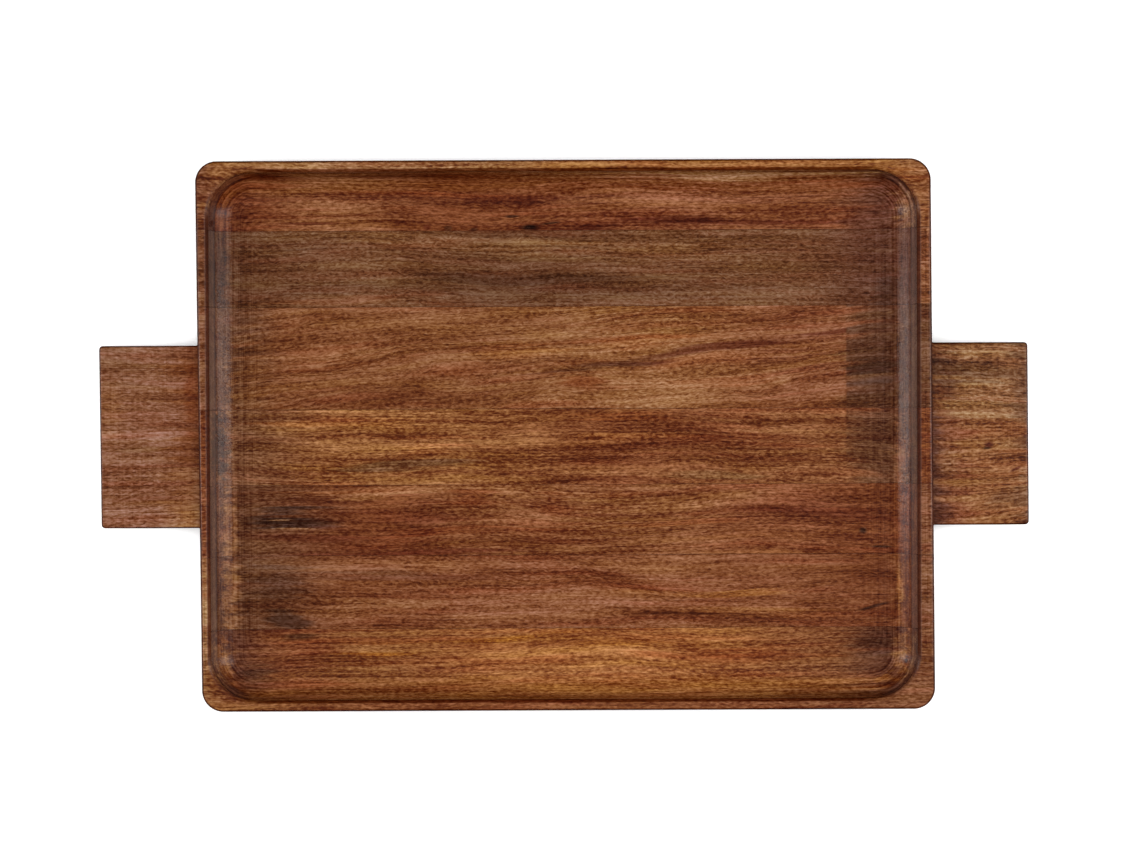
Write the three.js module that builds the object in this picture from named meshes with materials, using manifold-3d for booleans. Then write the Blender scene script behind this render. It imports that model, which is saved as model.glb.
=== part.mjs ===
/*
 * Rectangular wooden serving tray with a tab handle at each end.
 *
 * Seven staves are edge-glued into a slab and a well with a coved wall is routed out of it.
 * Each handle is a block of two glued strips, held to the end of the slab by glue and three dowels.
 *
 * Millimetres. +X runs along the grain towards the right handle, +Y towards the back edge, +Z up.
 * The origin is at the centre of the underside, on the surface that the tray stands on.
 */
import * as THREE from 'three';
import { mergeVertices } from 'three/addons/utils/BufferGeometryUtils.js';
import Module from 'manifold-3d';

// Slab
const SLAB_LEFT = -239;
const SLAB_RIGHT = 241;
const SLAB_HEIGHT = 30;
const SLAB_CORNER_RADIUS = 14;
const SLAB_EASE = 2;
const END_SKEW = 0.0068; // the ends are sawn this far out of square, in mm of X per mm of Y

// Staves, from the back edge to the front edge
const STAVES = [
  { name: 'stave_1_back', width: 45, colour: 0x784731 },
  { name: 'stave_2', width: 50, colour: 0x6b442c },
  { name: 'stave_3', width: 67.5, colour: 0x815134 },
  { name: 'stave_4', width: 50, colour: 0x7e4e31 },
  { name: 'stave_5', width: 46.5, colour: 0x76462b },
  { name: 'stave_6', width: 48.5, colour: 0x7c482c },
  { name: 'stave_7_front', width: 52.5, colour: 0x8a5230 },
];
const GLUE_LINE = 0.2; // thickness of every glued joint
const STAVE_ROUGHNESS = 0.5;

// Well
const RIM_LEFT = 7;
const RIM_RIGHT = 10;
const RIM_SIDE = 7.2;
const FLOOR_THICKNESS = 12;
const COVE_WIDTH = 20;
const FLOOR_CORNER_RADIUS = 9;
const RIM_EASE = 2;

// Handles
const HANDLE_WIDTH = 120;
const HANDLE_BOTTOM = 5;
const HANDLE_TOP = 20;
const HANDLE_CORNER_RADIUS = 2.5;
const HANDLE_ROOT_RADIUS = 2.5;
const HANDLE_EASE = 1.5;
const HANDLE_ROUGHNESS = 0.55;
const HANDLES = [
  { side: 'left', root: SLAB_LEFT, reach: -66, backStrip: 80, colours: [0x805039, 0x814f38] },
  { side: 'right', root: SLAB_RIGHT, reach: 64, backStrip: 50, colours: [0x7f553d, 0x82533a] },
];

// Dowels
const DOWEL_RADIUS = 3;
const DOWEL_LENGTH = 40;
const DOWEL_CHAMFER = 0.8;
const DOWEL_IN_SLAB = 10;
const DOWEL_SPACING = 40;
const DOWEL_CLEARANCE = 0.25;
const DOWEL_COLOUR = 0xc9a878;
const DOWEL_ROUGHNESS = 0.8;

// Facets
const CORNER_SEGMENTS = 8;
const COVE_SEGMENTS = 10;
const EASE_SEGMENTS = 3;
const ROUND_SEGMENTS = 20;
const PAST = 10; // how far a cutter runs past what it cuts

const wasm = await Module();
wasm.setup();

function toSolid(geometry) {
  const bare = geometry.clone();
  bare.deleteAttribute('normal');
  bare.deleteAttribute('uv');
  const merged = mergeVertices(bare);
  return new wasm.Manifold(new wasm.Mesh({
    numProp: 3,
    vertProperties: merged.attributes.position.array,
    triVerts: new Uint32Array(merged.index.array),
  }));
}

function toGeometry(solid) {
  const mesh = solid.getMesh();
  const geometry = new THREE.BufferGeometry();
  geometry.setAttribute('position', new THREE.BufferAttribute(mesh.vertProperties, 3));
  geometry.setIndex(new THREE.BufferAttribute(mesh.triVerts, 1));
  return geometry;
}

// Moves every point along X in proportion to its Y, as an end sawn out of square is.
function skewed(geometry) {
  const skew = new THREE.Matrix4().set(1, -END_SKEW, 0, 0, 0, 1, 0, 0, 0, 0, 1, 0, 0, 0, 0, 1);
  return geometry.applyMatrix4(skew);
}

// A block whose ends are skewed as the slab's are.
function block(left, right, front, back, bottom, top) {
  const geometry = new THREE.BoxGeometry(right - left, back - front, top - bottom);
  geometry.translate((left + right) / 2, (front + back) / 2, (bottom + top) / 2);
  return toSolid(skewed(geometry));
}

function roundedRectangle(left, right, front, back, radius) {
  const quarter = Math.PI / 2;
  const shape = new THREE.Shape();
  shape.absarc(right - radius, back - radius, radius, 0, quarter, false);
  shape.absarc(left + radius, back - radius, radius, quarter, 2 * quarter, false);
  shape.absarc(left + radius, front + radius, radius, 2 * quarter, 3 * quarter, false);
  shape.absarc(right - radius, front + radius, radius, 3 * quarter, 4 * quarter, false);
  return shape;
}

// An upright plate of the shape, with its top and bottom edges rounded inside the shape's outline.
function easedPlate(shape, bottom, top, ease) {
  const geometry = new THREE.ExtrudeGeometry(shape, {
    depth: top - bottom - 2 * ease,
    curveSegments: CORNER_SEGMENTS,
    bevelSize: ease,
    bevelOffset: -ease,
    bevelThickness: ease,
    bevelSegments: EASE_SEGMENTS,
  });
  return geometry.translate(0, 0, bottom + ease);
}

function slabWidth() {
  return STAVES.reduce((sum, stave) => sum + stave.width, 0);
}

function makeSlab() {
  const half = slabWidth() / 2;
  const outline = roundedRectangle(SLAB_LEFT, SLAB_RIGHT, -half, half, SLAB_CORNER_RADIUS);
  return toSolid(skewed(easedPlate(outline, 0, SLAB_HEIGHT, SLAB_EASE)));
}

// The router's path: the floor's outline, widened to the rim's inner edge by a quarter ellipse.
function makeWellCutter() {
  const sideWall = slabWidth() / 2 - RIM_SIDE - COVE_WIDTH;
  const leftWall = SLAB_LEFT + RIM_LEFT + COVE_WIDTH;
  const rightWall = SLAB_RIGHT - RIM_RIGHT - COVE_WIDTH;
  const floor = roundedRectangle(leftWall, rightWall, -sideWall, sideWall, FLOOR_CORNER_RADIUS);
  const geometry = new THREE.ExtrudeGeometry(floor, {
    depth: PAST,
    curveSegments: CORNER_SEGMENTS,
    bevelSize: COVE_WIDTH,
    bevelThickness: SLAB_HEIGHT - FLOOR_THICKNESS,
    bevelSegments: COVE_SEGMENTS,
  });
  return toSolid(geometry.translate(0, 0, SLAB_HEIGHT));
}

// Takes the sharp edge off the rim's inner edge.
function makeRimCutter() {
  const side = slabWidth() / 2 - RIM_SIDE;
  const radius = FLOOR_CORNER_RADIUS + COVE_WIDTH;
  const mouth = roundedRectangle(SLAB_LEFT + RIM_LEFT, SLAB_RIGHT - RIM_RIGHT, -side, side, radius);
  const geometry = new THREE.ExtrudeGeometry(mouth, {
    depth: PAST,
    curveSegments: CORNER_SEGMENTS,
    bevelSize: RIM_EASE,
    bevelThickness: RIM_EASE,
    bevelSegments: 1,
  });
  return toSolid(geometry.translate(0, 0, SLAB_HEIGHT));
}

function dowelCentres() {
  const z = (HANDLE_BOTTOM + HANDLE_TOP) / 2;
  return HANDLES.flatMap(({ side, root, reach }) => [1, 2, 3].map((number) => ({
    name: `dowel_${side}_${number}`,
    x: root + Math.sign(reach) * (DOWEL_LENGTH / 2 - DOWEL_IN_SLAB),
    y: (2 - number) * DOWEL_SPACING,
    z,
  })));
}

// A round pin along X with chamfered ends, centred on the origin.
function pinGeometry(radius, length, chamfer) {
  const half = length / 2;
  const profile = [
    new THREE.Vector2(0, -half),
    new THREE.Vector2(radius - chamfer, -half),
    new THREE.Vector2(radius, chamfer - half),
    new THREE.Vector2(radius, half - chamfer),
    new THREE.Vector2(radius - chamfer, half),
    new THREE.Vector2(0, half),
  ];
  return new THREE.LatheGeometry(profile, ROUND_SEGMENTS).rotateZ(-Math.PI / 2);
}

function makeDowelHoles() {
  const radius = DOWEL_RADIUS + DOWEL_CLEARANCE;
  const length = DOWEL_LENGTH + 2 * DOWEL_CLEARANCE;
  return dowelCentres().map(({ x, y, z }) =>
    toSolid(pinGeometry(radius, length, DOWEL_CHAMFER).translate(x, y, z)));
}

// The plan of one handle, reaching outwards from inside the slab, with flared corners at its root.
function handleOutline(outward, length) {
  const half = HANDLE_WIDTH / 2;
  const tip = HANDLE_CORNER_RADIUS;
  const flare = HANDLE_ROOT_RADIUS;
  const quarter = Math.PI / 2;
  const shape = new THREE.Shape();
  shape.moveTo(-PAST, half + flare);
  shape.lineTo(-PAST, -half - flare);
  shape.absarc(flare, -half - flare, flare, 2 * quarter, quarter, true);
  shape.absarc(length - tip, -half + tip, tip, -quarter, 0, false);
  shape.absarc(length - tip, half - tip, tip, 0, quarter, false);
  shape.absarc(flare, half + flare, flare, -quarter, -2 * quarter, true);
  return outward > 0 ? shape : mirrored(shape);
}

function mirrored(shape) {
  const points = shape.getPoints(CORNER_SEGMENTS).map(({ x, y }) => new THREE.Vector2(-x, y));
  return new THREE.Shape(points.reverse());
}

function woodMesh(name, geometry, colour, roughness) {
  const material = new THREE.MeshStandardMaterial({ color: colour, roughness, metalness: 0 });
  const mesh = new THREE.Mesh(geometry, material);
  mesh.name = name;
  return mesh;
}

function makeStaves(slab) {
  const halfGlue = GLUE_LINE / 2;
  const far = 2 * SLAB_RIGHT;
  let back = slabWidth() / 2;
  return STAVES.map(({ name, width, colour }, index) => {
    const front = back - width;
    const backFace = index === 0 ? back + PAST : back - halfGlue;
    const frontFace = index === STAVES.length - 1 ? front - PAST : front + halfGlue;
    const slice = block(-far, far, frontFace, backFace, -PAST, SLAB_HEIGHT + PAST);
    back = front;
    return woodMesh(name, toGeometry(slab.intersect(slice)), colour, STAVE_ROUGHNESS);
  });
}

function makeHandle({ side, root, reach, backStrip, colours }, holes) {
  const outward = Math.sign(reach);
  const outline = handleOutline(outward, Math.abs(reach));
  const plate = easedPlate(outline, HANDLE_BOTTOM, HANDLE_TOP, HANDLE_EASE).translate(root, 0, 0);
  const drilled = holes.reduce((solid, hole) => solid.subtract(hole), toSolid(skewed(plate)));
  const seam = HANDLE_WIDTH / 2 - backStrip;
  const ends = [root + outward * GLUE_LINE, root + reach + outward * PAST].sort((a, b) => a - b);
  const strips = [
    { name: `handle_${side}_back_strip`, front: seam + GLUE_LINE / 2, back: HANDLE_WIDTH },
    { name: `handle_${side}_front_strip`, front: -HANDLE_WIDTH, back: seam - GLUE_LINE / 2 },
  ];
  return strips.map(({ name, front, back }, index) => {
    const strip = drilled.intersect(block(...ends, front, back, 0, SLAB_HEIGHT));
    return woodMesh(name, toGeometry(strip), colours[index], HANDLE_ROUGHNESS);
  });
}

function makeDowel({ name, x, y, z }) {
  const geometry = pinGeometry(DOWEL_RADIUS, DOWEL_LENGTH, DOWEL_CHAMFER);
  const mesh = woodMesh(name, geometry, DOWEL_COLOUR, DOWEL_ROUGHNESS);
  mesh.position.set(x, y, z);
  return mesh;
}

function makeTray() {
  const holes = makeDowelHoles();
  const cutters = [makeWellCutter(), makeRimCutter(), ...holes];
  const slab = cutters.reduce((solid, cutter) => solid.subtract(cutter), makeSlab());
  const tray = new THREE.Group();
  tray.name = 'serving_tray';
  tray.add(...makeStaves(slab));
  tray.add(...HANDLES.flatMap((handle) => makeHandle(handle, holes)));
  tray.add(...dowelCentres().map(makeDowel));
  return tray;
}

export default makeTray();
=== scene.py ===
"""Looks for the wooden serving tray: fine meshes for every stave, handle strip and dowel, oiled
hardwood made of nodes, a pale floor, soft light from above and both sides, and a camera overhead.

Metres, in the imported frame: +X along the grain to the right handle, +Y to the back edge, +Z up.
"""
import math

import bmesh
import bpy
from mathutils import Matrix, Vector


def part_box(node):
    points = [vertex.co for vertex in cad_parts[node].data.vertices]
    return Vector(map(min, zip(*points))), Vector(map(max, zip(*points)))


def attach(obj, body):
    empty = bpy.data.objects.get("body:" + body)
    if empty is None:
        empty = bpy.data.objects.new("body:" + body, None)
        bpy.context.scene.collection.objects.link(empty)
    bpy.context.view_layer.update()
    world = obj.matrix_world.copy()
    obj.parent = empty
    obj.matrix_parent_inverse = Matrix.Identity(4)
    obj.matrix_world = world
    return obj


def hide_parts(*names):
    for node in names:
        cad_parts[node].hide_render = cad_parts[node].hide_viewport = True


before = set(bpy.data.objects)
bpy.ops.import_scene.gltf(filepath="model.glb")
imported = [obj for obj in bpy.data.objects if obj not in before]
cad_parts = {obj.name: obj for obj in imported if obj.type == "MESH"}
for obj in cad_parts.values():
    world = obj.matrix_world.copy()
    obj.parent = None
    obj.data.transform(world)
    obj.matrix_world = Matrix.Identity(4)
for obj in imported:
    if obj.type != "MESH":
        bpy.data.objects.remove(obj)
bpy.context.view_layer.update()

MM = 0.001

# The slab that the staves make up
STAVES = ["stave_1_back", "stave_2", "stave_3", "stave_4", "stave_5", "stave_6", "stave_7_front"]
END_SKEW = 0.0068
SLAB_CORNER_RADIUS = 14 * MM
SLAB_EASE = 2 * MM
GLUE_GAP = 0.04 * MM

# The well
RIM_LEFT = 7 * MM
RIM_RIGHT = 10 * MM
RIM_SIDE = 7.2 * MM
FLOOR_TOP = 12 * MM
COVE_WIDTH = 20 * MM
FLOOR_CORNER_RADIUS = 9 * MM
RIM_EASE = 3 * MM

# The handles and the dowels
HANDLE_CORNER_RADIUS = 2.5 * MM
HANDLE_ROOT_RADIUS = 2.5 * MM
HANDLE_EASE = 1.5 * MM
DOWEL_CLEARANCE = 0.25 * MM
DOWEL_CHAMFER = 0.8 * MM
HANDLE_HALF = 60 * MM
ROOT_GAP = 0.1 * MM
FLUTES = 14
FLUTE_DEPTH = 0.3 * MM

BEYOND = 1.0  # metres, well past the tray on either side

# Mesh fineness
CORNER_STEPS = 16
LONG_SIDE_STEPS = 48
SHORT_SIDE_STEPS = 36
EASE_STEPS = 5
COVE_STEPS = 26
HANDLE_ARC_STEPS = 8
HANDLE_EDGE_STEPS = 12
HOLE_SIDES = 32
DOWEL_SIDES = FLUTES * 8
SUPPORT = 0.7 * MM  # a ring this far inside each flat face keeps its shading flat
SHARP_ANGLE = math.radians(38)
CUT_TOLERANCE = 1e-7


def measure_slab():
    """The slab's ends at Y = 0, its half width and its height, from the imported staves."""
    low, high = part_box("stave_4")
    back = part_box(STAVES[0])[1].y
    left = low.x + END_SKEW * high.y
    right = high.x + END_SKEW * low.y
    return left, right, back, high.z


SLAB_LEFT, SLAB_RIGHT, SLAB_HALF, SLAB_TOP = measure_slab()


# ---------------------------------------------------------------- meshes

def rounded_ring(left, right, front, back, radius, z, skew):
    """One closed loop of points round a rounded rectangle, the same number for every ring."""
    corners = [
        (right - radius, back - radius, 0),
        (left + radius, back - radius, 1),
        (left + radius, front + radius, 2),
        (right - radius, front + radius, 3),
    ]
    points = []
    for index, (cx, cy, turn) in enumerate(corners):
        for step in range(CORNER_STEPS + 1):
            angle = (turn + step / CORNER_STEPS) * math.pi / 2
            points.append((cx + radius * math.cos(angle), cy + radius * math.sin(angle)))
        next_x, next_y, _ = corners[(index + 1) % 4]
        steps = LONG_SIDE_STEPS if index % 2 == 0 else SHORT_SIDE_STEPS
        start = points[-1]
        end_angle = (turn + 1) * math.pi / 2
        end = (next_x + radius * math.cos(end_angle), next_y + radius * math.sin(end_angle))
        for step in range(1, steps):
            share = step / steps
            points.append((start[0] + (end[0] - start[0]) * share,
                           start[1] + (end[1] - start[1]) * share))
    return [Vector((x - skew * y, y, z)) for x, y in points]


def outer_ring(inset, z):
    """A ring of the slab's outside, a little way in from its widest outline."""
    return rounded_ring(SLAB_LEFT + inset, SLAB_RIGHT - inset, inset - SLAB_HALF,
                        SLAB_HALF - inset, SLAB_CORNER_RADIUS - inset, z, END_SKEW)


def well_ring(inset, z):
    """A ring of the well's wall, measured in from the rim's inner edge."""
    side = SLAB_HALF - RIM_SIDE - inset
    radius = FLOOR_CORNER_RADIUS + COVE_WIDTH - inset
    return rounded_ring(SLAB_LEFT + RIM_LEFT + inset, SLAB_RIGHT - RIM_RIGHT - inset,
                        -side, side, radius, z, 0)


def quarter(steps):
    """Angles from 0 to a quarter turn."""
    return [step / steps * math.pi / 2 for step in range(steps + 1)]


def outside_rings():
    """The slab's outside from the underside, round both eased edges, to the top of the rim."""
    rings = [outer_ring(SLAB_EASE + SUPPORT, 0)]
    for angle in quarter(EASE_STEPS):
        rings.append(outer_ring(SLAB_EASE * (1 - math.sin(angle)), SLAB_EASE * (1 - math.cos(angle))))
    rings.append(outer_ring(0, SLAB_EASE + SUPPORT))
    rings.append(outer_ring(0, SLAB_TOP - SLAB_EASE - SUPPORT))
    for angle in quarter(EASE_STEPS):
        rings.append(outer_ring(SLAB_EASE * (1 - math.cos(angle)),
                                SLAB_TOP - SLAB_EASE * (1 - math.sin(angle))))
    rings.append(outer_ring(SLAB_EASE + SUPPORT, SLAB_TOP))
    return rings


def cove_profile():
    """(inset, z) down the well's wall: the rim's rounded inner edge, then a quarter ellipse."""
    depth = SLAB_TOP - FLOOR_TOP
    start = math.asin(RIM_EASE / depth)
    edge = COVE_WIDTH * (1 - math.cos(start))
    profile = [(-RIM_EASE - SUPPORT, SLAB_TOP)]
    for angle in quarter(EASE_STEPS):
        profile.append((-RIM_EASE + (RIM_EASE + edge) * math.sin(angle),
                        SLAB_TOP - RIM_EASE * (1 - math.cos(angle))))
    for step in range(1, COVE_STEPS + 1):
        angle = start + (math.pi / 2 - start) * step / COVE_STEPS
        profile.append((COVE_WIDTH * (1 - math.cos(angle)), SLAB_TOP - depth * math.sin(angle)))
    profile.append((COVE_WIDTH + SUPPORT, FLOOR_TOP))
    return profile


def slab_mesh():
    """The whole slab as one closed bmesh: stacked rings, with a flat face at each end."""
    rings = outside_rings() + [well_ring(inset, z) for inset, z in cove_profile()]
    solid = bmesh.new()
    loops = [[solid.verts.new(point) for point in ring] for ring in rings]
    for lower, upper in zip(loops, loops[1:]):
        for index in range(len(lower)):
            after = (index + 1) % len(lower)
            solid.faces.new((lower[index], lower[after], upper[after], upper[index]))
    solid.faces.new(reversed(loops[0]))
    solid.faces.new(loops[-1])
    solid.normal_update()
    return solid


def cut_between(solid, front, back):
    """A closed copy of the solid's part between two Y planes."""
    part = solid.copy()
    for y, normal in ((front, Vector((0, -1, 0))), (back, Vector((0, 1, 0)))):
        everything = part.verts[:] + part.edges[:] + part.faces[:]
        bmesh.ops.bisect_plane(part, geom=everything, plane_co=(0, y, 0), plane_no=normal,
                               clear_outer=True, dist=CUT_TOLERANCE)
        open_edges = [edge for edge in part.edges if edge.is_boundary]
        if open_edges:
            bmesh.ops.edgeloop_fill(part, edges=open_edges)
    bmesh.ops.recalc_face_normals(part, faces=part.faces[:])
    return part


def new_object(name, solid):
    """A bmesh as an object with smooth shading and sharp edges where it turns sharply."""
    mesh = bpy.data.meshes.new(name)
    solid.to_mesh(mesh)
    solid.free()
    shade(mesh)
    piece = bpy.data.objects.new(name, mesh)
    bpy.context.scene.collection.objects.link(piece)
    return piece


def shade(mesh):
    mesh.shade_smooth()
    mesh.set_sharp_from_angle(angle=SHARP_ANGLE)


def pin_mesh(low, high, radius, chamfer, sides, flute=0.0):
    """A closed pin along X from low to high, with chamfered ends and optional flutes."""
    cy, cz = (low.y + high.y) / 2, (low.z + high.z) / 2
    stations = [(low.x, radius - chamfer), (low.x + chamfer, radius),
                (high.x - chamfer, radius), (high.x, radius - chamfer)]
    solid = bmesh.new()
    loops = []
    for x, size in stations:
        loop = []
        for index in range(sides):
            angle = 2 * math.pi * index / sides
            depth = flute * max(0.0, math.cos(FLUTES * angle)) ** 2
            reach = min(size, radius - depth)
            point = (x, cy + reach * math.cos(angle), cz + reach * math.sin(angle))
            loop.append(solid.verts.new(point))
        loops.append(loop)
    for near, far in zip(loops, loops[1:]):
        for index in range(sides):
            after = (index + 1) % sides
            solid.faces.new((near[index], near[after], far[after], far[index]))
    solid.faces.new(reversed(loops[0]))
    solid.faces.new(loops[-1])
    bmesh.ops.recalc_face_normals(solid, faces=solid.faces[:])
    return solid


def subtract(piece, cutters):
    """Cuts each cutter out of the piece and removes the cutters."""
    for cutter in cutters:
        cut = piece.modifiers.new("cut", "BOOLEAN")
        cut.operation = "DIFFERENCE"
        cut.solver = "EXACT"
        cut.object = cutter
    depsgraph = bpy.context.evaluated_depsgraph_get()
    mesh = bpy.data.meshes.new_from_object(piece.evaluated_get(depsgraph), depsgraph=depsgraph)
    piece.modifiers.clear()
    piece.data = mesh
    shade(mesh)
    for cutter in cutters:
        bpy.data.objects.remove(cutter)


def dowel_names(side):
    return [f"dowel_{side}_{number}" for number in (1, 2, 3)]


def hole_cutters(names):
    """A pin a little larger than each named dowel, to cut its hole."""
    cutters = []
    for name in names:
        low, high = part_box(name)
        grow = Vector((DOWEL_CLEARANCE,) * 3)
        radius = (high.y - low.y) / 2 + DOWEL_CLEARANCE
        pin = pin_mesh(low - grow, high + grow, radius, DOWEL_CHAMFER, HOLE_SIDES)
        cutters.append(new_object(name + "_hole", pin))
    return cutters


def dowels_in(node, sides):
    """The dowels on the given sides whose axes lie inside a node's stretch of Y."""
    front, back = (corner.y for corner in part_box(node))
    names = [name for side in sides for name in dowel_names(side)]
    return [name for name in names if front < joint_line(name, name) < back]


def joint_line(back, front):
    """The Y halfway between a node and the one in front of it, or of one node's middle."""
    return (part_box(back)[0].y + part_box(front)[1].y) / 2


def add_staves(slab):
    inner = [joint_line(back, front) for back, front in zip(STAVES, STAVES[1:])]
    joints = [BEYOND, *inner, -BEYOND]
    staves = {}
    for node, back, front in zip(STAVES, joints, joints[1:]):
        part = cut_between(slab, front + GLUE_GAP / 2, back - GLUE_GAP / 2)
        piece = new_object("wood_" + node, part)
        dowels = dowels_in(node, ("left", "right"))
        if dowels:
            subtract(piece, hole_cutters(dowels))
        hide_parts(node)
        staves[node] = piece
    return staves


def handle_outline(half, length, inset):
    """The plan of a handle from its root, X outwards, shrunk by inset except at the root."""
    tip = HANDLE_CORNER_RADIUS
    flare = HANDLE_ROOT_RADIUS + inset
    points = []
    first = math.pi - math.acos(1 - ROOT_GAP / HANDLE_ROOT_RADIUS)
    for step in range(HANDLE_ARC_STEPS + 1):
        angle = first + step / HANDLE_ARC_STEPS * (math.pi / 2 - first)
        points.append((HANDLE_ROOT_RADIUS + flare * math.cos(angle),
                       -half - HANDLE_ROOT_RADIUS + flare * math.sin(angle)))
    for step in range(1, HANDLE_EDGE_STEPS):
        x = HANDLE_ROOT_RADIUS + (length - tip - HANDLE_ROOT_RADIUS) * step / HANDLE_EDGE_STEPS
        points.append((x, -half + inset))
    for step in range(HANDLE_ARC_STEPS + 1):
        angle = -math.pi / 2 + step / HANDLE_ARC_STEPS * math.pi / 2
        points.append((length - tip + (tip - inset) * math.cos(angle),
                       -half + tip + (tip - inset) * math.sin(angle)))
    for step in range(1, HANDLE_EDGE_STEPS):
        points.append((length - inset, -half + tip + (half - tip) * step / HANDLE_EDGE_STEPS))
    return points + [(x, -y) for x, y in reversed(points)]


def handle_layers(bottom, top):
    """(inset, z) from the underside of a handle, round both eased edges, to its top."""
    layers = [(HANDLE_EASE + SUPPORT, bottom)]
    for angle in quarter(EASE_STEPS):
        layers.append((HANDLE_EASE * (1 - math.sin(angle)), bottom + HANDLE_EASE * (1 - math.cos(angle))))
    for angle in quarter(EASE_STEPS):
        layers.append((HANDLE_EASE * (1 - math.cos(angle)), top - HANDLE_EASE * (1 - math.sin(angle))))
    layers.append((HANDLE_EASE + SUPPORT, top))
    return layers


def handle_mesh(side):
    """The whole handle block as one closed bmesh, before it is split into strips."""
    low_back, high_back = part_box(f"handle_{side}_back_strip")
    low_front, high_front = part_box(f"handle_{side}_front_strip")
    outward = -1 if side == "left" else 1
    root = SLAB_LEFT if side == "left" else SLAB_RIGHT
    tip = min(low_back.x, low_front.x) if side == "left" else max(high_back.x, high_front.x)
    length = abs(tip - root) - END_SKEW * (HANDLE_HALF - HANDLE_CORNER_RADIUS)
    solid = bmesh.new()
    loops = []
    for inset, z in handle_layers(low_back.z, high_back.z):
        loop = []
        for x, y in handle_outline(HANDLE_HALF, length, inset):
            loop.append(solid.verts.new((root + outward * x - END_SKEW * y, y, z)))
        loops.append(loop)
    for lower, upper in zip(loops, loops[1:]):
        for index in range(len(lower)):
            after = (index + 1) % len(lower)
            solid.faces.new((lower[index], lower[after], upper[after], upper[index]))
    solid.faces.new(loops[0])
    solid.faces.new(loops[-1])
    bmesh.ops.recalc_face_normals(solid, faces=solid.faces[:])
    return solid


def add_handle(side):
    block = handle_mesh(side)
    names = [f"handle_{side}_back_strip", f"handle_{side}_front_strip"]
    seam = joint_line(*names)
    spans = [(seam + GLUE_GAP / 2, BEYOND), (-BEYOND, seam - GLUE_GAP / 2)]
    strips = {}
    for node, (front, back) in zip(names, spans):
        piece = new_object("wood_" + node, cut_between(block, front, back))
        subtract(piece, hole_cutters(dowels_in(node, (side,))))
        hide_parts(node)
        strips[node] = piece
    block.free()
    return strips


def add_dowels():
    dowels = {}
    for side in ("left", "right"):
        for node in dowel_names(side):
            low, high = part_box(node)
            radius = (high.y - low.y) / 2
            solid = pin_mesh(low, high, radius, DOWEL_CHAMFER, DOWEL_SIDES, FLUTE_DEPTH)
            piece = new_object("fluted_" + node, solid)
            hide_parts(node)
            dowels[node] = piece
    return dowels


# ---------------------------------------------------------------- node graphs

def tone(text):
    """A screen colour such as 7a4a2c as linear RGBA."""
    channels = [int(text[start:start + 2], 16) / 255 for start in (0, 2, 4)]
    linear = [c / 12.92 if c <= 0.04045 else ((c + 0.055) / 1.055) ** 2.4 for c in channels]
    return (*linear, 1.0)


class Graph:
    """A material's nodes, with one short method for each kind of node."""

    def __init__(self, name):
        self.material = bpy.data.materials.new(name)
        self.material.use_nodes = True
        self.nodes = self.material.node_tree.nodes
        self.links = self.material.node_tree.links
        self.shader = self.nodes["Principled BSDF"]

    def feed(self, socket, value):
        if isinstance(value, bpy.types.NodeSocket):
            self.links.new(value, socket)
        else:
            socket.default_value = value

    def millimetres(self):
        """The point on the tray as X, Y and Z in mm."""
        source = self.nodes.new("ShaderNodeTexCoord").outputs["Object"]
        return self.split(self.vector("SCALE", source, 1 / MM))

    def normal(self):
        return self.nodes.new("ShaderNodeNewGeometry").outputs["Normal"]

    def math(self, operation, first, second=0.0, third=0.0):
        node = self.nodes.new("ShaderNodeMath")
        node.operation = operation
        for socket, value in zip(node.inputs, (first, second, third)):
            self.feed(socket, value)
        return node.outputs[0]

    def distance(self, value, place):
        return self.math("ABSOLUTE", self.math("SUBTRACT", value, place))

    def vector(self, operation, first, factor=1.0):
        node = self.nodes.new("ShaderNodeVectorMath")
        node.operation = operation
        self.feed(node.inputs[0], first)
        if operation == "SCALE":
            self.feed(node.inputs["Scale"], factor)
        return node.outputs["Value"] if operation == "LENGTH" else node.outputs["Vector"]

    def join(self, x, y, z):
        node = self.nodes.new("ShaderNodeCombineXYZ")
        for socket, value in zip(node.inputs, (x, y, z)):
            self.feed(socket, value)
        return node.outputs[0]

    def split(self, vector):
        node = self.nodes.new("ShaderNodeSeparateXYZ")
        self.feed(node.inputs[0], vector)
        return node.outputs

    def noise(self, vector, detail, roughness=0.5):
        node = self.nodes.new("ShaderNodeTexNoise")
        self.feed(node.inputs["Vector"], vector)
        node.inputs["Scale"].default_value = 1.0
        node.inputs["Detail"].default_value = detail
        node.inputs["Roughness"].default_value = roughness
        return node.outputs["Fac"]

    def step(self, value, low, high, start=0.0, end=1.0):
        """Goes smoothly from start to end as value goes from low to high."""
        node = self.nodes.new("ShaderNodeMapRange")
        node.interpolation_type = "SMOOTHSTEP"
        for name, given in zip(("Value", "From Min", "From Max", "To Min", "To Max"),
                               (value, low, high, start, end)):
            self.feed(node.inputs[name], given)
        return node.outputs["Result"]

    def mix(self, share, first, second, blend="MIX"):
        """Two colours mixed: inputs 6 and 7 and output 2 are the node's colour sockets."""
        node = self.nodes.new("ShaderNodeMix")
        node.data_type = "RGBA"
        node.blend_type = blend
        self.feed(node.inputs[0], share)
        self.feed(node.inputs[6], first)
        self.feed(node.inputs[7], second)
        return node.outputs[2]

    def ramp(self, value, stops, blend="EASE"):
        """A colour ramp of (place, tone) stops."""
        node = self.nodes.new("ShaderNodeValToRGB")
        node.color_ramp.interpolation = blend
        elements = node.color_ramp.elements
        while len(elements) < len(stops):
            elements.new(0.5)
        for element, (place, colour) in zip(elements, stops):
            element.position = place
            element.color = tone(colour)
        self.feed(node.inputs[0], value)
        return node.outputs["Color"]


# ---------------------------------------------------------------- wood

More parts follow.
